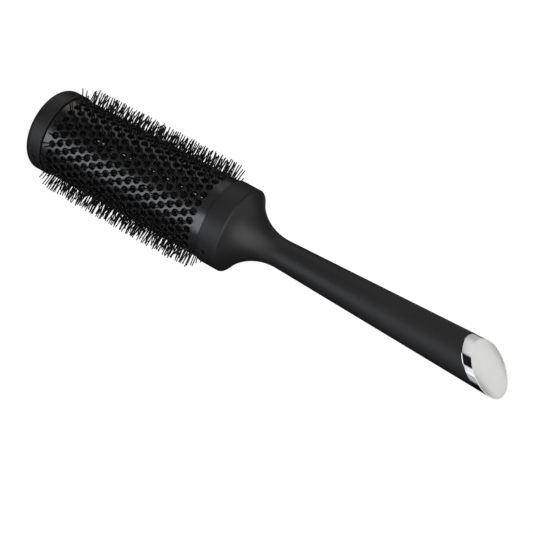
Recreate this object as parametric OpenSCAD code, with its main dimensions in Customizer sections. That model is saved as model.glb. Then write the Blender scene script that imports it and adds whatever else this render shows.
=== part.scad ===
// Round vented barrel brush: a perforated metal barrel with nylon bristle combs standing
// through its holes, a moulded end cap, and a soft-touch handle with a slanted metal tail.
// The brush stands on the flat face of its end cap, with its axis along +Z and the handle up.
// The long side of the slanted tail is towards +Y, so the tail plate faces -Y and upwards.

/* [Barrel] */
// Outside diameter of the perforated barrel
barrel_d = 45; // [44:0.5:46]
// Wall thickness of the barrel
barrel_wall = 0.8; // [0.6:0.1:1]
// Vent holes in one ring round the barrel
holes_around = 28; // [24:2:28]
// Rings of vent holes along the barrel
hole_rings = 21; // [15:2:21]
// Diameter of one vent hole
hole_d = 3.9; // [3:0.1:4]
// Distance from one ring of holes to the next
ring_pitch = 4.45; // [4.4:0.05:4.6]
// From the end cap's edge to the first ring of holes
far_margin = 6.2; // [5:0.1:8]
// From the last ring of holes to the collar's edge
near_margin = 7.2; // [5:0.1:8]

/* [End cap and collar] */
// Outside diameter of the end cap and of the collar
band_d = 46.7; // [46.6:0.1:48]
// Length of the end cap and of the collar along the axis
band_len = 10.9; // [10:0.1:12]
// Rounding between the end cap's side and its flat end
cap_round = 4; // [2:0.5:5]
// Diameter of the retaining pins
pin_d = 2.4; // [1.6:0.1:2.8]
// How deep each pin's head sits below the surface
pin_sink = 0.5; // [0.2:0.1:0.7]
// From the open edge of a cap or collar to its pins
pin_inset = 4.2; // [3.5:0.1:5]

/* [Bristles] */
// Thickness of one bristle
bristle_d = 0.6; // [0.4:0.05:0.8]
// How far the bristle tips stand out of the barrel
bristle_reach = 8.3; // [4:0.1:10]

/* [Handle] */
// Rounding of the handle's shoulder, where it meets the collar
shoulder_r = 1.1; // [0.8:0.1:1.5]
// Angle between the shoulder's steep face and the axis
flare_angle = 59; // [55:1:62]
// Radius of the hollow sweep from the shoulder to the neck
flare_r = 28; // [24:1:30]
// Diameter at the shoulder of the long cone that the grip follows
grip_root_d = 13.7; // [13:0.1:15]
// Diameter of the grip where the tail ferrule starts
grip_tail_d = 23; // [21:0.5:25]
// From the shoulder to the middle of the tail ferrule's front face
grip_len = 138; // [120:1:150]
// Thickness of the soft-touch skin over the hard core
skin_t = 1.6; // [1.2:0.1:2]

/* [Tail] */
// Angle of the slanted tail faces from square across the axis
tail_slant = 43; // [30:1:45]
// Thickness of the chromed ferrule, square to its faces
ferrule_t = 3.8; // [3:0.1:6]
// Width of the ferrule's rim round the tail plate
ferrule_rim = 0.5; // [0.5:0.1:1.5]
// Thickness of the satin tail plate
plate_t = 1.2; // [0.8:0.1:2]

/* [Hidden] */
$fn = 96;
clear = 0.05;

barrel_r = barrel_d / 2;
bore_r = barrel_r - barrel_wall;
band_r = band_d / 2;

// Places along the axis, from the flat end of the cap
first_ring_z = band_len + far_margin;
last_ring_z = first_ring_z + (hole_rings - 1) * ring_pitch;
collar_z = last_ring_z + near_margin;
shoulder_z = collar_z + band_len;
cap_floor = 3;
web_t = 2.8;
barrel_foot_z = cap_floor;
barrel_head_z = shoulder_z - web_t;
seal_t = 0.5;

// Columns of holes: a ring's holes stand half a pitch beside those of the rings next to it
hole_step = 360 / holes_around;
comb_columns = 4;
comb_count = 2 * holes_around / comb_columns;

// The bristle combs inside the barrel and the two hubs that carry them
comb_r = 19.8;
rail_t = 1.2;
rail_w = 1.2;
comb_ends_z = [band_len + 0.8, collar_z - 0.8];
hub_len = 4;
hub_rim_t = 2;
rib_len = 1.2;
rib_t = 0.8;
rib_lift = 0.15;

// The steel spindle down the middle, with the nut that pulls the hubs together
spindle_r = 4;
spindle_z = [5, shoulder_z + 50];
nut_across = 13;
nut_len = 5;
cap_boss_r = 6.2;
cap_boss_len = 2.6;
spigot_t = 1.6;
nose_r = 9;
web_bore_r = nose_r + clear;

// Handle sweep: the shoulder's arc, a short straight face, a hollow arc, then the cone
grip_end_z = shoulder_z + grip_len;
cone_slope = (grip_tail_d - grip_root_d) / 2 / grip_len;
cone_angle = atan(cone_slope);
function cone_r(z) = grip_root_d / 2 + cone_slope * (z - shoulder_z);
arc_end = [band_r - shoulder_r * (1 - cos(flare_angle)), shoulder_z + shoulder_r * sin(flare_angle)];
sweep_drop = flare_r * (cos(cone_angle) - cos(flare_angle));
sweep_len = flare_r * (sin(cone_angle) + sin(flare_angle));
face_len = (arc_end.x - sweep_drop - cone_r(arc_end.y + sweep_len))
    / (sin(flare_angle) + cone_slope * cos(flare_angle));
sweep_start = arc_end + face_len * [-sin(flare_angle), cos(flare_angle)];
sweep_middle = sweep_start + flare_r * [cos(flare_angle), sin(flare_angle)];
top_z = grip_end_z + 30;
plug_r = 6;
plug_depth = 26;
core_bore_z = grip_end_z - plug_depth;

function node_name(base, i) = str(base, i < 9 ? "_0" : "_", i + 1);

// A ring about the axis, from the lower height to the upper one
module ring(inner_r, outer_r, low_z, high_z) {
    translate([0, 0, low_z]) difference() {
        cylinder(r = outer_r, h = high_z - low_z);
        translate([0, 0, -1]) cylinder(r = inner_r, h = high_z - low_z + 2);
    }
}

// Two drillings or pins that face each other along X, between two radii
module pin_pair(d, inner_r, outer_r, z) {
    for (side = [-1, 1])
        translate([side * inner_r, 0, z]) rotate([0, side * 90, 0])
            cylinder(d = d, h = outer_r - inner_r, $fn = 32);
}

// Everything in the tail between two planes that slant across the axis
module tail_slab(low, high) {
    translate([0, 0, grip_end_z]) rotate([tail_slant, 0, 0])
        translate([-30, -30, low]) cube([60, 60, high - low]);
}

// The long cone of the grip near the tail, set in by some thickness
module tail_cone(inset) {
    low_z = grip_end_z - 20;
    translate([0, 0, low_z])
        cylinder(r1 = cone_r(low_z) - inset, r2 = cone_r(top_z) - inset, h = top_z - low_z);
}

// Half outline of the handle, set in from its outer surface by some thickness
module handle_outline(inset) {
    start = sweep_start - inset * [cos(flare_angle), sin(flare_angle)];
    front_r = start.x + (start.y - shoulder_z) * tan(flare_angle);
    neck = sweep_middle - (flare_r + inset) * [cos(cone_angle), -sin(cone_angle)];
    difference() {
        polygon([
            [0, shoulder_z],
            [inset > 0 ? front_r : band_r - shoulder_r, shoulder_z],
            inset > 0 ? start : arc_end,
            start,
            neck,
            [cone_r(top_z) - inset / cos(cone_angle), top_z],
            [0, top_z]
        ]);
        translate(sweep_middle) circle(r = flare_r + inset, $fn = 180);
    }
}

// The rounded edge of the handle's shoulder, as a half outline
module shoulder_outline() {
    difference() {
        translate([band_r - shoulder_r, shoulder_z]) circle(r = shoulder_r, $fn = 48);
        translate([0, shoulder_z - 2 * shoulder_r]) square([band_r + 1, 2 * shoulder_r]);
    }
}

module end_cap() {
    color([0.12, 0.12, 0.125]) difference() {
        union() {
            rotate_extrude() difference() {
                union() {
                    square([band_r - cap_round, band_len]);
                    translate([0, cap_round]) square([band_r, band_len - cap_round]);
                    translate([band_r - cap_round, cap_round]) circle(r = cap_round);
                }
                translate([0, cap_floor]) square([barrel_r + clear, band_len]);
                translate([-band_r, -1]) square([band_r, band_len + 2]);
            }
            ring(bore_r - clear - spigot_t, bore_r - clear, cap_floor, band_len - 1);
            ring(spindle_r + 2 * clear, cap_boss_r, cap_floor, cap_floor + cap_boss_len);
        }
        pin_pair(pin_d, bore_r - spigot_t - 1, band_r + 1, band_len - pin_inset);
    }
}

module cap_seal() {
    color([0.03, 0.03, 0.03]) ring(barrel_r, barrel_r + 0.45, band_len, band_len + seal_t);
}

module cap_pins() {
    color([0.05, 0.05, 0.05])
        pin_pair(pin_d, bore_r - clear - spigot_t, band_r - pin_sink, band_len - pin_inset);
}

// A spoked hub: a rim that the combs lie on, four spokes and a boss on the spindle
module hub(low_z) {
    color([0.1, 0.1, 0.1]) {
        ring(comb_r - hub_rim_t, comb_r, low_z, low_z + hub_len);
        ring(spindle_r + clear, spindle_r + 3.5, low_z, low_z + hub_len);
        for (i = [0:3]) rotate([0, 0, 45 + 90 * i]) translate([spindle_r + 3, -1.25, low_z])
            cube([comb_r - hub_rim_t - spindle_r - 2.8, 2.5, hub_len]);
    }
}

module far_hub() {
    hub(comb_ends_z[0]);
}

module near_hub() {
    hub(comb_ends_z[1] - hub_len);
}

module spindle_nut() {
    low_z = comb_ends_z[0] - nut_len;
    color([0.6, 0.6, 0.62]) translate([0, 0, low_z]) difference() {
        cylinder(d = nut_across / cos(30), h = nut_len, $fn = 6);
        translate([0, 0, -1]) cylinder(r = spindle_r, h = nut_len + 2);
    }
}

module spindle() {
    color([0.6, 0.6, 0.62]) translate([0, 0, spindle_z[0]])
        cylinder(r = spindle_r, h = spindle_z[1] - spindle_z[0]);
}

// The barrel: a tube with two retaining drillings at each end and a staggered field of vents
module barrel() {
    reach = barrel_wall + 1.6;
    color([0.16, 0.16, 0.17]) difference() {
        ring(bore_r, barrel_r, barrel_foot_z, barrel_head_z);
        for (j = [0:hole_rings - 1], i = [0:holes_around - 1])
            rotate([0, 0, (i + (j % 2 == 0 ? 0.5 : 0)) * hole_step])
                translate([bore_r - 0.8, 0, first_ring_z + j * ring_pitch])
                    rotate([0, 90, 0]) cylinder(d = hole_d, h = reach, $fn = 24);
        pin_pair(pin_d, bore_r - 1, barrel_r + 1, band_len - pin_inset);
        pin_pair(pin_d, bore_r - 1, barrel_r + 1, collar_z + pin_inset);
    }
}

// One moulded nylon comb: four rails tied by ribs, with a bristle under every vent hole
module bristle_comb(number) {
    column_step = hole_step / 2;
    rib_gap = (comb_ends_z[1] - comb_ends_z[0] - rib_len) / 5;
    color([0.02, 0.02, 0.02]) rotate([0, 0, number * comb_columns * column_step]) {
        for (c = [0:comb_columns - 1]) rotate([0, 0, c * column_step])
            translate([comb_r, -rail_w / 2, comb_ends_z[0]])
                cube([rail_t, rail_w, comb_ends_z[1] - comb_ends_z[0]]);
        for (i = [0:5]) translate([0, 0, comb_ends_z[0] + i * rib_gap])
            rotate_extrude(angle = (comb_columns - 1) * column_step)
                translate([comb_r + rib_lift, 0]) square([rib_t, rib_len]);
        for (j = [0:hole_rings - 1], c = [(j + 1) % 2:2:comb_columns - 1])
            rotate([0, 0, c * column_step]) translate([comb_r + 0.5, 0, first_ring_z + j * ring_pitch])
                rotate([0, 90, 0])
                    cylinder(d = bristle_d, h = barrel_r + bristle_reach - comb_r - 0.5, $fn = 6);
    }
}

module collar() {
    color([0.12, 0.12, 0.125]) difference() {
        union() {
            ring(barrel_r + clear, band_r, collar_z, shoulder_z);
            ring(web_bore_r, barrel_r + 2 * clear, barrel_head_z, shoulder_z);
            ring(bore_r - clear - spigot_t, bore_r - clear, collar_z + 1, barrel_head_z + clear);
        }
        pin_pair(pin_d, bore_r - spigot_t - 1, band_r + 1, collar_z + pin_inset);
    }
}

module collar_pins() {
    color([0.05, 0.05, 0.05])
        pin_pair(pin_d, bore_r - clear - spigot_t, band_r - pin_sink, collar_z + pin_inset);
}

// The hard core: a nose through the collar, a flared shoulder, and the inside of the grip
module handle_core() {
    color([0.2, 0.2, 0.2]) difference() {
        union() {
            translate([0, 0, comb_ends_z[1]]) cylinder(r = nose_r, h = shoulder_z - comb_ends_z[1] + 1);
            rotate_extrude() handle_outline(skin_t);
        }
        translate([0, 0, comb_ends_z[1] - 1])
            cylinder(r = spindle_r, h = spindle_z[1] - comb_ends_z[1] + 1);
        translate([0, 0, core_bore_z]) cylinder(r = plug_r, h = top_z);
        tail_slab(0, 60);
    }
}

module handle_grip() {
    color([0.12, 0.12, 0.125]) difference() {
        rotate_extrude() difference() {
            union() {
                handle_outline(0);
                shoulder_outline();
            }
            handle_outline(skin_t);
        }
        tail_slab(0, 60);
    }
}

// The plug: a stem in the core's bore and a slanted head that fills the ferrule
module tail_plug() {
    color([0.15, 0.15, 0.15]) union() {
        difference() {
            translate([0, 0, core_bore_z + 1]) cylinder(r = plug_r, h = plug_depth + 1);
            tail_slab(0.5, 60);
        }
        intersection() {
            tail_cone(ferrule_rim);
            tail_slab(0, ferrule_t - plate_t);
        }
    }
}

module tail_ferrule() {
    color([0.85, 0.85, 0.86]) difference() {
        intersection() {
            tail_cone(0);
            tail_slab(0, ferrule_t);
        }
        tail_cone(ferrule_rim);
    }
}

module tail_plate() {
    color([0.82, 0.82, 0.83]) intersection() {
        tail_cone(ferrule_rim);
        tail_slab(ferrule_t - plate_t, ferrule_t);
    }
}

end_cap();
cap_seal();
cap_pins();
far_hub();
spindle_nut();
barrel();
for (i = [0:comb_count - 1])
    bristle_comb(i);
near_hub();
spindle();
collar();
collar_pins();
handle_core();
handle_grip();
tail_plug();
tail_ferrule();
tail_plate();
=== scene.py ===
import math
import random

import bmesh
import bpy
from mathutils import Matrix, Vector


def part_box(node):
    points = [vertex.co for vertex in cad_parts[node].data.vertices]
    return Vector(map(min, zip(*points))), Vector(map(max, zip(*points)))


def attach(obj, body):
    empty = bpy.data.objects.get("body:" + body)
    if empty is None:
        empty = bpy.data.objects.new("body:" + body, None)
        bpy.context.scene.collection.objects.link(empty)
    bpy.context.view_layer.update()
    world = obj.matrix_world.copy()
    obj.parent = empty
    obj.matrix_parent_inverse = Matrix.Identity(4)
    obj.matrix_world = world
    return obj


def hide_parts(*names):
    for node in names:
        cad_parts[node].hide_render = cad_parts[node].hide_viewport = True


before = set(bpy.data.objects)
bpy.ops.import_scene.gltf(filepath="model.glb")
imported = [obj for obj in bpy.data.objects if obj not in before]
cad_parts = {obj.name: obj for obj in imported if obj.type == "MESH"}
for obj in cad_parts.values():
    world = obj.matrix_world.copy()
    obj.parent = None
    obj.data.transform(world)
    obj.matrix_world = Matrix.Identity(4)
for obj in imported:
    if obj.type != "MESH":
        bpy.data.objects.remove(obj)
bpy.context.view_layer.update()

# ---------------------------------------------------------------------------------------------
# Spindle, nut and hubs. A black zinc-plated steel rod runs down the middle of the brush. A hexagon
# nut on its far end pulls two moulded nylon hubs together, and the combs lie on their rims. These
# are seen only through the vent holes, so the frame's own solids stay and get finishes.

fine_share = 0.35
noise_low, noise_high = 0.35, 0.65


def principled(name, colour, roughness, metallic=0.0):
    """A new material: its node tree, its Principled shader and the object coordinates."""
    material = bpy.data.materials.new(name)
    material.use_nodes = True
    tree = material.node_tree
    shader = tree.nodes["Principled BSDF"]
    shader.inputs["Base Color"].default_value = (*colour, 1)
    shader.inputs["Roughness"].default_value = roughness
    shader.inputs["Metallic"].default_value = metallic
    place = tree.nodes.new("ShaderNodeTexCoord").outputs["Object"]
    return material, tree, shader, place


def surface_grain_group():
    """Fine grain for any finish: a colour between two, a roughness between two, and a height."""
    group = bpy.data.node_groups.new("surface grain", "ShaderNodeTree")
    for name, kind, value in (
        ("Place", "NodeSocketVector", None),
        ("Grains per Metre", "NodeSocketFloat", 4000.0),
        ("Clouds per Metre", "NodeSocketFloat", 60.0),
        ("Colour A", "NodeSocketColor", (0.0, 0.0, 0.0, 1)),
        ("Colour B", "NodeSocketColor", (0.1, 0.1, 0.1, 1)),
        ("Roughness A", "NodeSocketFloat", 0.4),
        ("Roughness B", "NodeSocketFloat", 0.6),
    ):
        socket = group.interface.new_socket(name, in_out="INPUT", socket_type=kind)
        if value is not None:
            socket.default_value = value
    for name, kind in (
        ("Colour", "NodeSocketColor"),
        ("Roughness", "NodeSocketFloat"),
        ("Height", "NodeSocketFloat"),
    ):
        group.interface.new_socket(name, in_out="OUTPUT", socket_type=kind)
    nodes, link = group.nodes, group.links.new
    given, put = nodes.new("NodeGroupInput").outputs, nodes.new("NodeGroupOutput").inputs
    fine, cloudy = nodes.new("ShaderNodeTexNoise"), nodes.new("ShaderNodeTexNoise")
    fine.inputs["Detail"].default_value = 3.0
    cloudy.inputs["Detail"].default_value = 4.0
    link(given["Place"], fine.inputs["Vector"])
    link(given["Place"], cloudy.inputs["Vector"])
    link(given["Grains per Metre"], fine.inputs["Scale"])
    link(given["Clouds per Metre"], cloudy.inputs["Scale"])
    blend = nodes.new("ShaderNodeMix")
    blend.data_type = "FLOAT"
    blend.inputs[0].default_value = fine_share
    link(cloudy.outputs["Fac"], blend.inputs[2])
    link(fine.outputs["Fac"], blend.inputs[3])
    spread = nodes.new("ShaderNodeMapRange")
    spread.inputs["From Min"].default_value = noise_low
    spread.inputs["From Max"].default_value = noise_high
    link(blend.outputs[0], spread.inputs["Value"])
    tint = nodes.new("ShaderNodeMix")
    tint.data_type = "RGBA"
    link(spread.outputs["Result"], tint.inputs[0])
    link(given["Colour A"], tint.inputs[6])
    link(given["Colour B"], tint.inputs[7])
    link(tint.outputs[2], put["Colour"])
    rough = nodes.new("ShaderNodeMix")
    rough.data_type = "FLOAT"
    link(spread.outputs["Result"], rough.inputs[0])
    link(given["Roughness A"], rough.inputs[2])
    link(given["Roughness B"], rough.inputs[3])
    link(rough.outputs[0], put["Roughness"])
    link(fine.outputs["Fac"], put["Height"])
    return group


surface_grain = surface_grain_group()


def grained(
    name, colours, roughness, metallic=0.0, grains=4000, clouds=60, depth=0.00002, strength=0.3
):
    """A material with the surface grain on its colour, its roughness and a shallow bump."""
    material, tree, shader, place = principled(name, colours[0], roughness[0], metallic)
    grain = tree.nodes.new("ShaderNodeGroup")
    grain.node_tree = surface_grain
    grain.inputs["Grains per Metre"].default_value = grains
    grain.inputs["Clouds per Metre"].default_value = clouds
    grain.inputs["Colour A"].default_value = (*colours[0], 1)
    grain.inputs["Colour B"].default_value = (*colours[1], 1)
    grain.inputs["Roughness A"].default_value = roughness[0]
    grain.inputs["Roughness B"].default_value = roughness[1]
    bump = tree.nodes.new("ShaderNodeBump")
    bump.inputs["Strength"].default_value = strength
    bump.inputs["Distance"].default_value = depth
    tree.links.new(place, grain.inputs["Place"])
    tree.links.new(grain.outputs["Colour"], shader.inputs["Base Color"])
    tree.links.new(grain.outputs["Roughness"], shader.inputs["Roughness"])
    tree.links.new(grain.outputs["Height"], bump.inputs["Height"])
    tree.links.new(bump.outputs["Normal"], shader.inputs["Normal"])
    return material, tree, shader


def dress(node, material):
    """Gives a CAD node that stays as it is its finish."""
    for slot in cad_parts[node].material_slots:
        slot.material = material


plated_steel = grained(
    "black zinc-plated steel", [(0.09, 0.09, 0.09), (0.14, 0.14, 0.135)], (0.4, 0.52), metallic=1.0
)[0]
hub_nylon = grained(
    "hub nylon", [(0.012, 0.012, 0.012), (0.02, 0.02, 0.02)], (0.45, 0.6), depth=0.00003
)[0]
dress("spindle", plated_steel)
dress("spindle_nut", plated_steel)
dress("far_hub", hub_nylon)
dress("near_hub", hub_nylon)

# ---------------------------------------------------------------------------------------------
# Bristle combs. Fourteen strips of injection-moulded nylon lie side by side inside the barrel.
# Each has four rails tied by ribs, and its bristles are pushed out through the vent holes, where
# they stand a little crooked and end at slightly different heights.

MM = 0.001
TURN = 2 * math.pi
weld_distance = 0.004


def finish_piece(bm, name, material, slot, *nodes, sharp=35):
    """Turns a mesh built in millimetres into a piece that stands for the given CAD nodes."""
    bmesh.ops.remove_doubles(bm, verts=bm.verts, dist=weld_distance)
    bmesh.ops.recalc_face_normals(bm, faces=bm.faces)
    bmesh.ops.scale(bm, vec=(MM, MM, MM), verts=bm.verts)
    mesh = bpy.data.meshes.new(name)
    bm.to_mesh(mesh)
    bm.free()
    mesh.polygons.foreach_set("use_smooth", [True] * len(mesh.polygons))
    mesh.set_sharp_from_angle(angle=math.radians(sharp))
    mesh.materials.append(material)
    piece = bpy.data.objects.new(name, mesh)
    bpy.context.scene.collection.objects.link(piece)
    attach(piece, "root")
    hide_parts(*nodes)
    return piece


def span(node):
    """Lowest and highest corner of a CAD node, in millimetres."""
    low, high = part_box(node)
    return low / MM, high / MM


def turned(bm, verts, angle):
    """Turns some vertices about the brush's axis."""
    bmesh.ops.rotate(bm, cent=(0, 0, 0), matrix=Matrix.Rotation(angle, 3, "Z"), verts=verts)


barrel_low, barrel_high = span("barrel")
barrel_radius = barrel_high.x
cap_edge = span("end_cap")[1].z
collar_edge = span("collar")[0].z
holes_around = 28
hole_rings = 21
hole_radius = 1.95
far_margin = 6.2
near_margin = 7.2
first_ring = cap_edge + far_margin
ring_pitch = (collar_edge - near_margin - first_ring) / (hole_rings - 1)
hole_pitch = TURN * barrel_radius / holes_around

comb_radius = 19.8
comb_low, comb_high = span("bristle_comb_01")
columns_in_comb = 4
rail_size = 1.2
rail_width = 1.75
rib_count = 6
tip_radius = comb_high.x
rib_half_height = 0.4
rib_end_gap = 0.5
rib_lift = 0.55
rib_steps = 8
bristle_radius = 0.36
# Up a bristle, in shares of its height and of its foot's radius.
bristle_taper = ((0.35, 0.98), (0.7, 0.94), (0.97, 0.86), (0.992, 0.6))
# Share of a bristle's height above which its tip carries the painted highlight.
glint_tip_from = 0.98
bristles_in_hole = 2
bristle_gap = 1.3
stray_along, stray_across = 0.3, 0.5
trims = (0.0, 0.1, 0.25, 0.5, 1.0)
trim_stray = 0.3
tuft_spread, lean_spread, curl_spread = 0.035, 0.055, 0.2
first_seed = 100


def extrude_loop(bm, edges):
    """Extrudes a chain of edges and returns the new vertices and the new chain."""
    made = bmesh.ops.extrude_edge_only(bm, edges=edges)["geom"]
    verts = [g for g in made if isinstance(g, bmesh.types.BMVert)]
    fresh = set(verts)
    chain = [g for g in made if isinstance(g, bmesh.types.BMEdge) and fresh.issuperset(g.verts)]
    return verts, chain


def straight_bristle():
    """One bristle along Z, one millimetre tall: six-sided, tapering a little, with a round tip."""
    bm = bmesh.new()
    loop = bmesh.ops.create_circle(bm, segments=6, radius=bristle_radius)["verts"]
    edges = bm.edges[:]
    for height, width in bristle_taper:
        loop, edges = extrude_loop(bm, edges)
        for v in loop:
            flat = Vector((v.co.x, v.co.y, 0)).normalized() * bristle_radius * width
            v.co = (flat.x, flat.y, height)
    bmesh.ops.holes_fill(bm, edges=bm.edges, sides=6)
    mesh = bpy.data.meshes.new("one bristle")
    bm.to_mesh(mesh)
    bm.free()
    return mesh


def tilt(chance, spread):
    """A random slope off a bristle's line, across the brush and along it."""
    return Vector((0, chance.gauss(0, spread), chance.gauss(0, spread)))


def add_bristle(bm, glint_tip, angle, height, stand, tuft_lean, chance):
    """Stands one bristle on its rail and bends it, so that its tip strays from the hole's line."""
    start = len(bm.verts)
    bm.from_mesh(one_bristle)
    bm.verts.ensure_lookup_table()
    verts = bm.verts[start:]
    place = height + (stand - (bristles_in_hole - 1) / 2) * bristle_gap
    place += chance.uniform(-stray_along, stray_along)
    foot = Vector((comb_radius + rail_size / 2, chance.uniform(-stray_across, stray_across), place))
    length = tip_radius - foot.x - chance.choice(trims) - chance.uniform(0, trim_stray)
    lean = tuft_lean + tilt(chance, lean_spread)
    curl = tilt(chance, curl_spread)
    for v in verts:
        rise = v.co.z
        # Marks the tip vertices that get the painted highlight.
        v[glint_tip] = 1.0 if rise > glint_tip_from else 0.0
        upright = foot + Vector((length * rise, v.co.x, v.co.y))
        v.co = upright + lean * length * rise + curl * rise * rise
    turned(bm, verts, angle)


bristle_nylon, nylon_tree, nylon_shader = grained(
    "bristle nylon", [(0.003, 0.003, 0.0034), (0.007, 0.007, 0.0075)], (0.32, 0.45),
    grains=9000, depth=0.000004,
)
nylon_shader.inputs["Specular IOR Level"].default_value = 0.35
# Painted highlight: the bristle tips get a paler colour, which stands in for the glints on the cut
# ends.
glint_tip_mask = nylon_tree.nodes.new("ShaderNodeAttribute")
glint_tip_mask.attribute_name = "glint_tip"
painted_glint_tint = nylon_tree.nodes.new("ShaderNodeMix")
painted_glint_tint.data_type = "RGBA"
painted_glint_tint.inputs[7].default_value = (0.05, 0.05, 0.048, 1)
nylon_tree.links.new(glint_tip_mask.outputs["Fac"], painted_glint_tint.inputs[0])
nylon_tree.links.new(nylon_tree.nodes["Group"].outputs["Colour"], painted_glint_tint.inputs[6])
nylon_tree.links.new(painted_glint_tint.outputs[2], nylon_shader.inputs["Base Color"])

one_bristle = straight_bristle()
column_angle = TURN / holes_around / 2
comb_total = 2 * holes_around // columns_in_comb
comb_length = comb_high.z - comb_low.z
ribbed_length = comb_length - 2 * rib_end_gap
for comb_number in range(comb_total):
    chance = random.Random(first_seed + comb_number)
    comb = bmesh.new()
    glint_tip = comb.verts.layers.float.new("glint_tip")
    first_angle = comb_number * columns_in_comb * column_angle
    for column in range(columns_in_comb):
        rail = bmesh.ops.create_cube(comb, size=1)["verts"]
        bmesh.ops.scale(comb, vec=(rail_size, rail_width, comb_length), verts=rail)
        middle = (comb_radius + rail_size / 2, 0, (comb_low.z + comb_high.z) / 2)
        bmesh.ops.translate(comb, vec=middle, verts=rail)
        turned(comb, rail, first_angle + column * column_angle)
    for i in range(rib_count):
        rib = bmesh.ops.create_grid(comb, x_segments=1, y_segments=1, size=rib_half_height)["verts"]
        bmesh.ops.rotate(comb, cent=(0, 0, 0), matrix=Matrix.Rotation(TURN / 4, 3, "X"), verts=rib)
        rib_height = comb_low.z + rib_end_gap + i * ribbed_length / (rib_count - 1)
        bmesh.ops.translate(comb, vec=(comb_radius + rib_lift, 0, rib_height), verts=rib)
        turned(comb, rib, first_angle)
        face = list({f for v in rib for f in v.link_faces})
        across = (columns_in_comb - 1) * column_angle
        bmesh.ops.spin(
            comb, geom=face, cent=(0, 0, 0), axis=(0, 0, 1), angle=across, steps=rib_steps,
            use_merge=False,
        )
    for ring in range(hole_rings):
        height = first_ring + ring * ring_pitch
        for column in range((ring + 1) % 2, columns_in_comb, 2):
            angle = first_angle + column * column_angle
            tuft_lean = tilt(chance, tuft_spread)
            for stand in range(bristles_in_hole):
                add_bristle(comb, glint_tip, angle, height, stand, tuft_lean, chance)
    node = f"bristle_comb_{comb_number + 1:02d}"
    finish_piece(comb, "comb_" + node[-2:], bristle_nylon, "bristle_nylon", node)
bpy.data.meshes.remove(one_bristle)

# ---------------------------------------------------------------------------------------------
# Barrel. A tube rolled from perforated metal, 45 mm across, with 21 rings of 28 staggered vent
# holes, and coated in a dark semi-gloss ceramic finish. The coating rounds the lip of every hole.
# Both ends are plain where the cap and the collar hold it.


def drilled_panel(bm, width, height, hole, middle, radius, layers):
    """A rectangle of skin wrapped on a cylinder at azimuth 0, with a round hole in its middle.
    Each layer is (how much wider than the hole, how deep under the skin), from the lip inwards.
    A layer with no width follows the rectangle again, and makes the inner skin."""
    grid = bmesh.ops.create_grid(bm, x_segments=6, y_segments=6, size=1)["verts"]
    rim = [v for v in grid if v.is_boundary]
    bmesh.ops.delete(bm, geom=[v for v in grid if not v.is_boundary], context="VERTS")
    chain = list({e for v in rim for e in v.link_edges})
    placed = [(v, None, 0) for v in rim]
    for wider, depth in layers:
        verts, chain = extrude_loop(bm, chain)
        placed += [(v, wider, depth) for v in verts]
    for v, wider, depth in placed:
        u, w = v.co.x, v.co.y
        if wider is None:
            across, up = u * width / 2, w * height / 2
        else:
            sideways = abs(u) >= abs(w)
            angle = TURN / 8 * w / u if sideways else TURN / 4 - TURN / 8 * u / w
            reach = math.copysign(hole + wider, u if sideways else w)
            across, up = reach * math.cos(angle), reach * math.sin(angle)
        wrapped, skin_radius = across / radius, radius - depth
        v.co = (skin_radius * math.cos(wrapped), skin_radius * math.sin(wrapped), middle + up)
    return [place[0] for place in placed]


def copied(bm, verts):
    """Copies some vertices with the edges and faces between them, and returns the new vertices."""
    inside = set(verts)
    edges = {e for v in verts for e in v.link_edges if inside.issuperset(e.verts)}
    faces = {f for v in verts for f in v.link_faces if inside.issuperset(f.verts)}
    made = bmesh.ops.duplicate(bm, geom=[*verts, *edges, *faces])["geom"]
    return [g for g in made if isinstance(g, bmesh.types.BMVert)]


loop_reach = 0.02


def open_loop(bm, radius, height):
    """The open edges that run round the axis at some radius and height."""
    def near(v):
        return abs(v.co.xy.length - radius) < loop_reach and abs(v.co.z - height) < loop_reach
    return [e for e in bm.edges if e.is_boundary and near(e.verts[0]) and near(e.verts[1])]


def sweep(bm, chain, profile):
    """Carries an open loop round the axis through a list of (radius, height) places."""
    for radius, height in profile:
        verts, chain = extrude_loop(bm, chain)
        for v in verts:
            v.co.xy = v.co.xy.normalized() * radius
            v.co.z = height
    return chain


barrel_wall = 0.8
inner_radius = barrel_radius - barrel_wall
lip = 0.13
vent_layers = (
    (lip + 0.05, 0), (lip, 0), (lip * 0.29, lip * 0.29), (0, lip),
    (0, barrel_wall), (None, barrel_wall),
)
tube = bmesh.new()
cell = drilled_panel(
    tube, hole_pitch, ring_pitch, hole_radius, first_ring, barrel_radius, vent_layers
)
turned(tube, cell, column_angle)
for i in range(1, holes_around):
    turned(tube, copied(tube, cell), 2 * i * column_angle)
bmesh.ops.remove_doubles(tube, verts=tube.verts, dist=weld_distance)
ring_of_vents = tube.verts[:]
for j in range(1, hole_rings):
    next_ring = copied(tube, ring_of_vents)
    turned(tube, next_ring, j % 2 * column_angle)
    bmesh.ops.translate(tube, verts=next_ring, vec=(0, 0, j * ring_pitch))
bmesh.ops.remove_doubles(tube, verts=tube.verts, dist=weld_distance)
for vents_end, tube_end in (
    (first_ring - ring_pitch / 2, barrel_low.z),
    (first_ring + (hole_rings - 0.5) * ring_pitch, barrel_high.z),
):
    inner_loop = open_loop(tube, inner_radius, vents_end)
    outer_loop = open_loop(tube, barrel_radius, vents_end)
    sweep(tube, outer_loop, [(barrel_radius, tube_end), (inner_radius, tube_end)])
    sweep(tube, inner_loop, [(inner_radius, tube_end)])

coated_metal, _, coat_shader = grained(
    "coated metal", [(0.075, 0.075, 0.080), (0.100, 0.100, 0.106)], (0.24, 0.32),
    metallic=0.85, grains=2500, clouds=90, depth=0.000006,
)
coat_shader.inputs["Coat Weight"].default_value = 0.4
coat_shader.inputs["Coat Roughness"].default_value = 0.2
finish_piece(tube, "barrel_tube", coated_metal, "coated_metal", "barrel", sharp=50)

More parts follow.
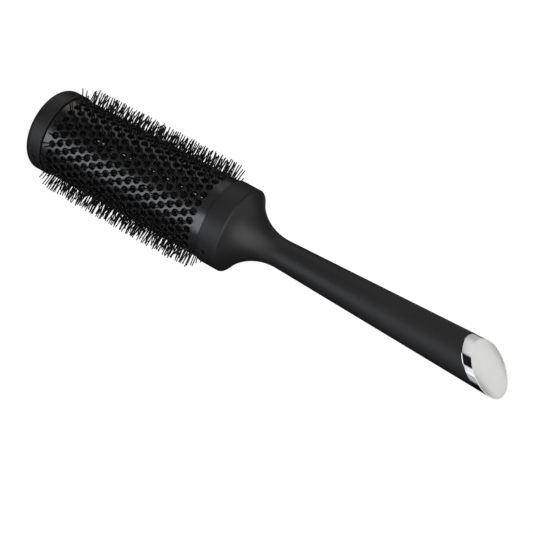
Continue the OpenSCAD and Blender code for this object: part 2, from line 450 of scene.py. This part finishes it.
# ---------------------------------------------------------------------------------------------
# Seal. A thin silicone ring lies in the groove between the end cap and the barrel. It keeps the
# hot barrel off the cap. Its near-black, almost unreflective finish is painted shadow: it stands in
# for the shade in the gap between the cap and the barrel, and shows as a dark line.

seal_low, seal_high = span("cap_seal")
# Painted shadow: a near-black colour and a weak specular stand in for the shade in the gap at the
# cap.
seal_rubber, _, seal_shader = grained(
    "seal silicone", [(0.002, 0.002, 0.002), (0.004, 0.004, 0.004)], (0.7, 0.8)
)
seal_shader.inputs["Specular IOR Level"].default_value = 0.05
seal_bulge = 0.1
seal = bmesh.new()
seal_foot = bmesh.ops.create_circle(seal, segments=120, radius=barrel_radius)["verts"]
bmesh.ops.translate(seal, verts=seal_foot, vec=(0, 0, seal_low.z))
sweep(seal, seal.edges[:], [
    (seal_high.x - seal_bulge, seal_low.z), (seal_high.x, seal_low.z + seal_bulge),
    (seal_high.x, seal_high.z - seal_bulge), (seal_high.x - seal_bulge, seal_high.z),
    (barrel_radius, seal_high.z), (barrel_radius, seal_low.z),
])
finish_piece(seal, "seal_ring", seal_rubber, "seal_rubber", "cap_seal", sharp=50)

# ---------------------------------------------------------------------------------------------
# End cap. A moulded cup with a soft-touch coating closes the barrel, and the brush stands on its
# flat end. Its side is drilled for two pins, and a spigot inside it holds the barrel round.


def arc(middle_radius, middle_height, size, start, end, steps):
    """Places on an arc, as (radius, height), between two angles in degrees."""
    turns = [math.radians(start + (end - start) * i / steps) for i in range(steps + 1)]
    return [(middle_radius + size * math.cos(t), middle_height + size * math.sin(t)) for t in turns]


def pinned_band(bm, outer, inner, pin_height, half_height, drilling):
    """A short wall with an outer and an inner skin, drilled through on both sides along X."""
    wall = outer - inner
    layers = ((0.17, 0), (0.12, 0), (0.035, 0.035), (0, 0.12), (0, wall), (None, wall))
    half_angle = math.radians(6)
    width = 2 * outer * half_angle
    drilled_panel(bm, width, 2 * half_height, drilling, pin_height, outer, layers)
    side = [
        e for e in bm.edges
        if all(math.atan2(v.co.y, v.co.x) > half_angle - 0.001 for v in e.verts)
    ]
    rest_of_half = TURN / 2 - 2 * half_angle
    bmesh.ops.spin(bm, geom=side, cent=(0, 0, 0), axis=(0, 0, 1), angle=rest_of_half, steps=84)
    turned(bm, copied(bm, bm.verts[:]), TURN / 2)
    bmesh.ops.remove_doubles(bm, verts=bm.verts, dist=weld_distance)
    low, high = pin_height - half_height, pin_height + half_height
    places = ((outer, low), (outer, high), (inner, low), (inner, high))
    return [open_loop(bm, *place) for place in places]


soft_touch = grained(
    "soft-touch coating", [(0.0125, 0.0125, 0.0142), (0.0165, 0.0165, 0.0184)], (0.42, 0.5),
    grains=6000, clouds=40, depth=0.00001, strength=0.5,
)[0]

cap_high = span("end_cap")[1]
band_radius = cap_high.x
cap_round = 4
cap_floor = barrel_low.z
fit_gap = 0.05
cup_radius = barrel_radius + fit_gap
spigot_outer = inner_radius - fit_gap
spigot_wall = 1.6
spigot_inner = spigot_outer - spigot_wall
spigot_shy = 1
flat_radius = 12
gate_outer, gate_inner, gate_depth = 2.4, 2.2, 0.15
boss_outer, boss_bore, boss_top = 6.2, 4.1, cap_floor + 2.6
edge_round = 0.25
half_band = 2.6
pins_low, pins_high = span("cap_pins")
pin_radius = pins_high.y
cap = bmesh.new()
outer_low, outer_high, inner_low, inner_high = pinned_band(
    cap, band_radius, cup_radius, (pins_low.z + pins_high.z) / 2, half_band, pin_radius
)
sweep(cap, outer_low, [
    *arc(band_radius - cap_round, cap_round, cap_round, 0, -90, 16),
    (flat_radius, 0), (gate_outer, 0), (gate_inner, gate_depth), (0, gate_depth),
])
sweep(cap, outer_high, [
    *arc(band_radius - edge_round, cap_edge - edge_round, edge_round, 0, 90, 4),
    (cup_radius, cap_edge),
])
sweep(cap, inner_high, [(cup_radius, cap_edge)])
sweep(cap, inner_low, [
    (cup_radius, cap_floor), (spigot_outer, cap_floor), (spigot_outer, cap_edge - spigot_shy),
    (spigot_inner, cap_edge - spigot_shy), (spigot_inner, cap_floor), (boss_outer, cap_floor),
    (boss_outer, boss_top), (boss_bore, boss_top), (boss_bore, cap_floor), (0, cap_floor),
])
finish_piece(cap, "cap_shell", soft_touch, "soft_touch_black", "end_cap")

# ---------------------------------------------------------------------------------------------
# Collar. The same moulded band at the handle's end of the barrel, with a web that the handle's
# nose passes through. Its top edge meets the handle's shoulder in a hairline seam.

seam = 0.07
collar_high = span("collar")[1]
shoulder = collar_high.z
nose_bore = 9.05
collar_pins_low, collar_pins_high = span("collar_pins")
collar = bmesh.new()
collar_pin_height = (collar_pins_low.z + collar_pins_high.z) / 2
outer_low, outer_high, inner_low, inner_high = pinned_band(
    collar, band_radius, cup_radius, collar_pin_height, half_band, pin_radius
)
sweep(collar, outer_low, [
    *arc(band_radius - edge_round, collar_edge + edge_round, edge_round, 0, -90, 4),
    (cup_radius, collar_edge),
])
sweep(collar, inner_low, [(cup_radius, collar_edge)])
sweep(collar, outer_high, [
    (band_radius, shoulder - seam), (band_radius - seam, shoulder), (nose_bore, shoulder),
    (nose_bore, barrel_high.z), (spigot_inner, barrel_high.z),
    (spigot_inner, collar_edge + spigot_shy), (spigot_outer, collar_edge + spigot_shy),
    (spigot_outer, barrel_high.z), (cup_radius, barrel_high.z),
])
sweep(collar, inner_high, [(cup_radius, barrel_high.z)])
finish_piece(collar, "collar_band", soft_touch, "soft_touch_black", "collar")

# ---------------------------------------------------------------------------------------------
# Pins. Two blackened steel pins at each end go through the cap or collar into the barrel. Their
# domed heads sit half a millimetre below the surface.

drill_gap = 0.03
# Up a pin's domed head, in shares of the pin's radius and in depth under the top.
pin_dome = ((1, 0.3), (0.93, 0.17), (0.75, 0.07), (0.4, 0.02), (0, 0))
pin_steel, _, pin_shader = grained(
    "blackened steel", [(0.003, 0.003, 0.003), (0.006, 0.006, 0.006)], (0.5, 0.65), metallic=0.6
)
pin_shader.inputs["Specular IOR Level"].default_value = 0.15
for name, low, high in (
    ("cap_pin_pair", pins_low, pins_high), ("collar_pin_pair", collar_pins_low, collar_pins_high)
):
    head = high.x
    size = pin_radius - drill_gap
    pins = bmesh.new()
    foot = bmesh.ops.create_circle(pins, cap_ends=True, segments=32, radius=size)["verts"]
    bmesh.ops.translate(pins, verts=foot, vec=(0, 0, spigot_inner))
    side = [e for e in pins.edges if e.is_boundary]
    sweep(pins, side, [(size * width, head - depth) for width, depth in pin_dome])
    quarter_turn = Matrix.Rotation(TURN / 4, 3, "Y")
    bmesh.ops.rotate(pins, cent=(0, 0, 0), matrix=quarter_turn, verts=pins.verts)
    bmesh.ops.translate(pins, verts=pins.verts, vec=(0, 0, (low.z + high.z) / 2))
    turned(pins, copied(pins, pins.verts[:]), TURN / 2)
    finish_piece(pins, name, pin_steel, "pin_steel", name.replace("_pin_pair", "_pins"), sharp=50)

# ---------------------------------------------------------------------------------------------
# Handle core. The hard plastic core under the soft grip, with the nose that goes through the
# collar. Nothing of it shows, so the frame's own solid stays.

core_plastic = grained(
    "core plastic", [(0.028, 0.028, 0.028), (0.036, 0.036, 0.036)], (0.4, 0.55)
)[0]
dress("handle_core", core_plastic)

# ---------------------------------------------------------------------------------------------
# Grip. A 1.6 mm skin moulded over the core and given the same soft-touch coating as the cap. It
# turns in from a small shoulder rounding down a steep face, sweeps to a thin neck and then widens
# evenly to the tail, where it is cut off on a slant.

flare_angle = 59
flare_radius = 28
shoulder_round = 1.1
root_radius = 6.85
tail_radius = 11.5
grip_length = 138
skin = 1.6
cone_slope = (tail_radius - root_radius) / grip_length
cone_angle = math.degrees(math.atan(cone_slope))
grip_end = shoulder + grip_length
tail_allowance = 30
tail_top = grip_end + tail_allowance
tail_segments = 180
hollow_steps, cone_steps = 40, 24
slant = math.radians(43)
slant_normal = Vector((0, -math.sin(slant), math.cos(slant)))


def cone_radius(height):
    """Radius of the grip's long cone at some height."""
    return root_radius + cone_slope * (height - shoulder)


def direction(degrees):
    """A unit vector in the half plane of (radius, height)."""
    return Vector((math.cos(math.radians(degrees)), math.sin(math.radians(degrees))))


round_middle = Vector((band_radius - shoulder_round, shoulder))
face_start = round_middle + shoulder_round * direction(flare_angle)
cone_side = Vector((direction(cone_angle).x, -direction(cone_angle).y))
sweep_size = flare_radius * (direction(flare_angle) - cone_side)
face_drop = face_start.x + sweep_size.x - cone_radius(face_start.y + sweep_size.y)
face_length = face_drop / (direction(flare_angle).y + cone_slope * direction(flare_angle).x)
face_end = face_start + face_length * direction(flare_angle + 90)
hollow_middle = face_end + flare_radius * direction(flare_angle)


def handle_profile(inset):
    """Places from the end of the steep face to above the tail, set in by some thickness."""
    size = flare_radius + inset
    start, end = 180 + flare_angle, 180 - cone_angle
    hollow = arc(hollow_middle.x, hollow_middle.y, size, start, end, hollow_steps)
    neck_height = hollow[-1][1]
    rise = tail_top - neck_height
    heights = [neck_height + rise * i / cone_steps for i in range(1, cone_steps + 1)]
    return [*hollow, *((cone_radius(z) - inset / direction(cone_angle).x, z) for z in heights)]


def slice_tail(bm, lift, **clear):
    """Slices a piece along a slanted plane, which lies some distance beyond the grip's end."""
    middle = Vector((0, 0, grip_end)) + lift * slant_normal
    everything = [*bm.verts, *bm.edges, *bm.faces]
    bmesh.ops.bisect_plane(
        bm, geom=everything, dist=0.0001, plane_co=middle, plane_no=slant_normal, **clear
    )


def cut_tail(bm, lift, keep_lower):
    """Slices a piece on a slanted plane and keeps what is below it or above it."""
    slice_tail(bm, lift, clear_outer=keep_lower, clear_inner=not keep_lower)


def lift_of(v):
    """How far a vertex lies beyond the slanted plane at the grip's end."""
    return (v.co - Vector((0, 0, grip_end))).dot(slant_normal)


def edges_at(bm, lift):
    """The open edges on a slanted plane."""
    return [
        e for e in bm.edges
        if e.is_boundary and all(abs(lift_of(v) - lift) < 0.01 for v in e.verts)
    ]


inner_start = face_end - skin * direction(flare_angle)
front_radius = inner_start.x + (inner_start.y - shoulder) * math.tan(math.radians(flare_angle))
grip = bmesh.new()
front = bmesh.ops.create_circle(grip, segments=tail_segments, radius=front_radius)["verts"]
bmesh.ops.translate(grip, verts=front, vec=(0, 0, shoulder))
front_edges = grip.edges[:]
sweep(grip, front_edges, handle_profile(skin))
rounding = arc(band_radius - shoulder_round, shoulder, shoulder_round, 0, flare_angle, 12)
sweep(grip, front_edges, [
    (band_radius - seam, shoulder), (band_radius, shoulder + seam),
    *rounding[2:], *handle_profile(0),
])
cut_tail(grip, 0, True)
bmesh.ops.bridge_loops(grip, edges=edges_at(grip, 0))
finish_piece(grip, "grip_skin", soft_touch, "soft_touch_black", "handle_grip")

# ---------------------------------------------------------------------------------------------
# Tail plug. The hard plastic plug that is glued into the core and carries the ferrule and plate.
# Nothing of it shows, so the frame's own solid stays.

dress("tail_plug", core_plastic)

# ---------------------------------------------------------------------------------------------
# Tail ferrule. A slanted ring of polished chrome-plated metal that carries on the grip's cone.
# Its edges are broken by a small rounding.

ferrule_length = 3.8
ferrule_rim = 0.5
rim_round = 0.05
front_round, front_drop = 0.35, 0.04
front_steps = 5
blank_low = grip_end - 20
chrome = grained(
    "polished chrome", [(0.83, 0.835, 0.85), (0.87, 0.875, 0.885)], (0.04, 0.08),
    metallic=1.0, grains=1500, clouds=120, depth=0.000001, strength=0.05,
)[0]
ferrule = bmesh.new()
for inset in (0, ferrule_rim):
    low_radius, top_radius = cone_radius(blank_low) - inset, cone_radius(tail_top) - inset
    ring = bmesh.ops.create_circle(ferrule, segments=tail_segments, radius=low_radius)["verts"]
    bmesh.ops.translate(ferrule, verts=ring, vec=(0, 0, blank_low))
    sweep(ferrule, list({e for v in ring for e in v.link_edges}), [(top_radius, tail_top)])
    if inset == 0:
        for i in range(1, front_steps + 1):
            slice_tail(ferrule, front_round * i / front_steps)
cut_tail(ferrule, 0, False)
for v in ferrule.verts:
    lift = lift_of(v)
    if lift < front_round and v.co.xy.length > cone_radius(v.co.z) - 0.01:
        v.co.xy -= v.co.xy.normalized() * front_drop * (1 - lift / front_round) ** 2
cut_tail(ferrule, ferrule_length, True)
bmesh.ops.bridge_loops(ferrule, edges=edges_at(ferrule, 0))
rim_edges = edges_at(ferrule, ferrule_length)
bmesh.ops.bridge_loops(ferrule, edges=rim_edges)
bmesh.ops.bevel(
    ferrule, geom=rim_edges, affect="EDGES", offset=rim_round, segments=4,
    profile=0.5, material=-1, clamp_overlap=True,
)
finish_piece(ferrule, "ferrule_ring", chrome, "chrome", "tail_ferrule")

# ---------------------------------------------------------------------------------------------
# Tail plate. A flat satin-finished metal disc pressed into the ferrule, a hair below its rim. It
# is left blank.

plate_thickness = 1.2
plate_sink = 0.03
plate_round = 0.06
satin_metal, satin_tree, _ = grained(
    "satin metal", [(0.80, 0.80, 0.80), (0.86, 0.86, 0.86)], (0.16, 0.21),
    metallic=1.0, grains=2500, depth=0.000001, strength=0.1,
)
stretch = satin_tree.nodes.new("ShaderNodeMapping")
stretch.inputs["Scale"].default_value = (0.08, 1, 1)
satin_place = satin_tree.nodes["Texture Coordinate"].outputs["Object"]
satin_tree.links.new(satin_place, stretch.inputs["Vector"])
satin_tree.links.new(stretch.outputs["Vector"], satin_tree.nodes["Group"].inputs["Place"])
plate = bmesh.new()
disc_radius = cone_radius(blank_low) - ferrule_rim
disc = bmesh.ops.create_circle(plate, segments=tail_segments, radius=disc_radius)["verts"]
bmesh.ops.translate(plate, verts=disc, vec=(0, 0, blank_low))
sweep(plate, plate.edges[:], [(cone_radius(tail_top) - ferrule_rim, tail_top)])
cut_tail(plate, ferrule_length - plate_thickness, False)
cut_tail(plate, ferrule_length - plate_sink, True)
plate_edge = edges_at(plate, ferrule_length - plate_sink)
bmesh.ops.holes_fill(plate, edges=plate.edges[:], sides=0)
bmesh.ops.bevel(
    plate, geom=plate_edge, affect="EDGES", offset=plate_round, segments=3,
    profile=0.5, material=-1, clamp_overlap=True,
)
finish_piece(plate, "plate_disc", satin_metal, "satin_metal", "tail_plate")

# ---------------------------------------------------------------------------------------------
# Studio. A pale floor that only the camera sees, and soft light from large panels around the
# brush. Every panel is a patch of the world's sky, placed by its turn round the brush's axis from
# the camera's side and by its height above the horizon, in degrees.

floor_reach = 4
floor_drop = 0.0003
floor_glow = 0.97
floor_bm = bmesh.new()
bmesh.ops.create_grid(floor_bm, x_segments=1, y_segments=1, size=floor_reach)
bmesh.ops.translate(floor_bm, verts=floor_bm.verts, vec=(0, 0, -floor_drop))
floor_mesh = bpy.data.meshes.new("floor")
floor_bm.to_mesh(floor_mesh)
floor_bm.free()
floor = bpy.data.objects.new("floor", floor_mesh)
bpy.context.scene.collection.objects.link(floor)
floor.visible_diffuse = floor.visible_glossy = False
floor.visible_transmission = floor.visible_shadow = False
pale_floor, _, floor_shader, _ = principled("pale floor", (0.06, 0.06, 0.06), 1.0)
floor_shader.inputs["Specular IOR Level"].default_value = 0.0
floor_shader.inputs["Emission Color"].default_value = (1, 1, 1, 1)
floor_shader.inputs["Emission Strength"].default_value = floor_glow
floor_mesh.materials.append(pale_floor)

camera_azimuth = math.radians(-53)
studio = bpy.data.worlds.new("studio")
bpy.context.scene.world = studio
studio.use_nodes = True
sky = studio.node_tree
sky.nodes.clear()
join = sky.links.new


def number(operation, first, second=0.0):
    """A maths node in the sky. Returns its output."""
    node = sky.nodes.new("ShaderNodeMath")
    node.operation = operation
    for socket, value in zip(node.inputs, (first, second)):
        if isinstance(value, bpy.types.NodeSocket):
            join(value, socket)
        else:
            socket.default_value = value
    return node.outputs[0]


def soft_step(value, middle, edge):
    """Goes from 0 to 1 as a value passes the middle, over twice the edge."""
    node = sky.nodes.new("ShaderNodeMapRange")
    node.interpolation_type = "SMOOTHSTEP"
    node.inputs["From Min"].default_value = middle - edge
    node.inputs["From Max"].default_value = middle + edge
    join(value, node.inputs["Value"])
    return node.outputs["Result"]


def patch(value, low, high, edge):
    """1 between two limits and 0 outside them, with one or two soft edges."""
    low_edge, high_edge = edge if isinstance(edge, tuple) else (edge, edge)
    past_high = number("SUBTRACT", 1.0, soft_step(value, high, high_edge))
    return number("MULTIPLY", soft_step(value, low, low_edge), past_high)


ray = sky.nodes.new("ShaderNodeTexCoord").outputs["Generated"]
about_axis = sky.nodes.new("ShaderNodeVectorRotate")
about_axis.rotation_type = "Z_AXIS"
about_axis.inputs["Angle"].default_value = -camera_azimuth
join(ray, about_axis.inputs["Vector"])
parts = sky.nodes.new("ShaderNodeSeparateXYZ")
join(about_axis.outputs["Vector"], parts.inputs["Vector"])
turn = number("MULTIPLY", number("ARCTAN2", parts.outputs["Y"], parts.outputs["X"]), 360 / TURN)
rise = number("MULTIPLY", number("ARCSINE", parts.outputs["Z"]), 360 / TURN)

white, warm, cool = (1.0, 0.995, 0.985), (1.0, 0.93, 0.86), (0.95, 0.975, 1.0)
light = None
for colour, strength, turns, turn_edge, rises, rise_edge in (
    (white, 0.004, (-200, 200), 1, (-100, 100), 1),
    (white, 0.48, (-140, -2), 8, (-13, -2), 2),
    (white, 0.34, (-80, -2), (24, 3), (-12, -2), 2),
    (white, 0.45, (-200, -152), 5, (-12, -2), 2),
    (cool, 1.0, (46, 78), 4, (-12, -2), 2),
    (white, 0.5, (74, 108), 10, (-12, -2), 2),
    (cool, 1.95, (10, 59), 5, (-32, -15), 3),
    (cool, 1.6, (20, 44), 6, (-62, -30), 5),
    (warm, 0.8, (-104, -64), 6, (-76, -25), 5),
    (warm, 0.3, (-116, -64), 8, (-25, -14), 3),
    (white, 1.6, (-44, 62), 18, (9, 32), 4),
    (white, 2.2, (-40, 60), 10, (36, 96), 8),
    (white, 0.84, (-150, -84), 4, (40, 64), 4),
):
    panel = sky.nodes.new("ShaderNodeBackground")
    panel.inputs["Color"].default_value = (*colour, 1)
    shape = number("MULTIPLY", patch(turn, *turns, turn_edge), patch(rise, *rises, rise_edge))
    join(number("MULTIPLY", shape, strength), panel.inputs["Strength"])
    if light is not None:
        both = sky.nodes.new("ShaderNodeAddShader")
        join(light, both.inputs[0])
        join(panel.outputs[0], both.inputs[1])
        light = both.outputs[0]
    else:
        light = panel.outputs[0]
backdrop = sky.nodes.new("ShaderNodeBackground")
backdrop.inputs["Color"].default_value = (1, 1, 1, 1)
choose = sky.nodes.new("ShaderNodeMixShader")
join(sky.nodes.new("ShaderNodeLightPath").outputs["Is Camera Ray"], choose.inputs["Fac"])
join(light, choose.inputs[1])
join(backdrop.outputs[0], choose.inputs[2])
join(choose.outputs[0], sky.nodes.new("ShaderNodeOutputWorld").inputs["Surface"])
bpy.context.scene.view_settings.view_transform = "Standard"

# ---------------------------------------------------------------------------------------------
# Camera. It looks down a little on the brush, 53 degrees round from one pin of each pair, and is
# rolled so that the handle runs to the lower right.

aim = Vector((7.42, 5.59, 146.36)) * MM
distance = 0.5562
elevation = math.radians(18.08)
roll = math.radians(119.14)
lens_data = bpy.data.cameras.new("camera")
lens_data.lens = 74.3
lens_data.sensor_width = 36
lens_data.clip_start = 0.01
camera = bpy.data.objects.new("camera", lens_data)
bpy.context.scene.collection.objects.link(camera)
level = math.cos(elevation)
outward = Vector((
    level * math.cos(camera_azimuth), level * math.sin(camera_azimuth), math.sin(elevation)
))
facing = (-outward).to_track_quat("-Z", "Y").to_matrix().to_4x4()
stand_off = Matrix.Translation(aim + distance * outward)
camera.matrix_world = stand_off @ facing @ Matrix.Rotation(roll, 4, "Z")
bpy.context.scene.camera = camera
